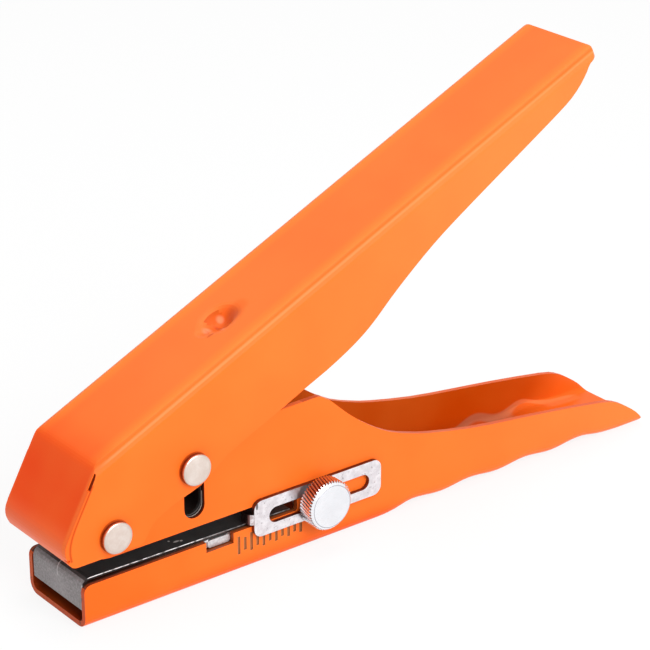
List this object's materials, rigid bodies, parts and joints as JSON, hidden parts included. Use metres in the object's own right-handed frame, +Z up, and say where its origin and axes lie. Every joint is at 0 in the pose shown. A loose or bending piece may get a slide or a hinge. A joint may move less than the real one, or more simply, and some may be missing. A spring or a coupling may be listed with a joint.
{
  "type": "hole punch pliers",
  "caption": "Hand-held hole punch pliers: pressed channel body, sprung upper handle that drives a round punch into a die, and a sliding edge stop held by a knurled thumb screw.",
  "frame": {"origin": "where the punch's axis meets the plane of the flat base, midway across the width", "axes": "+X from the jaw's mouth towards the handles' ends, +Y away from the side with the edge stop, +Z up from the base towards the upper handle"},
  "size_m": [0.1982, 0.037, 0.1197],
  "materials": {
    "orange_coat": "smooth orange powder coat",
    "black_steel": "blackened steel, semi-gloss",
    "die_steel": "hardened steel, slightly speckled",
    "zinc_plate": "bright zinc plating, slightly mottled",
    "knob_chrome": "bright plated, knurled rim",
    "bright_steel": "plain bright steel",
    "rivet_nickel": "warm nickel plating, satin",
    "spring_steel": "drawn spring wire"
  },
  "bodies": {
    "lower": {"lower_body": "orange_coat", "guide_frame": "black_steel", "throat_plate": "black_steel", "die_block": "die_steel", "clamp_nut": "zinc_plate", "pivot_spacer": "bright_steel", "spring_seat": "bright_steel", "return_spring": "spring_steel"},
    "handle": {"upper_handle": "orange_coat", "pivot_rivet": "rivet_nickel", "drive_rivet": "rivet_nickel"},
    "punch": {"punch_holder": "bright_steel", "punch_pin": "die_steel"},
    "stop": {"edge_stop": "zinc_plate"},
    "washer": {"clamp_washer": "zinc_plate"},
    "screw": {"thumb_screw": "knob_chrome"}
  },
  "joints": [
    {"name": "handle_squeeze", "type": "hinge", "parent": "lower", "child": "handle", "pos_m": [-0.02525, 0, 0.0248], "axis": [0, 1, 0], "range_deg": [0, 23], "stiffness_Nm_per_rad": 1.2, "springref_deg": -20.05, "deforming": ["return_spring"]},
    {"name": "punch_stroke", "type": "slide", "parent": "lower", "child": "punch", "axis": [0, 0, 1], "range_m": [-0.0103, 0]},
    {"name": "stop_slide", "type": "slide", "parent": "lower", "child": "stop", "axis": [1, 0, 0], "range_m": [-0.0125, 0.013]},
    {"name": "screw_travel", "type": "slide", "parent": "lower", "child": "washer", "axis": [0, -1, 0], "range_m": [0, 0.0014]},
    {"name": "screw_turn", "type": "hinge", "parent": "washer", "child": "screw", "pos_m": [0.03865, -0.017, 0.0143], "axis": [0, -1, 0], "range_deg": [0, 720]}
  ],
  "couplings": [
    {"joint": "punch_stroke", "follows": "handle_squeeze", "m_per_rad": -0.025595},
    {"joint": "screw_turn", "follows": "screw_travel", "rad_per_m": 8976}
  ]
}
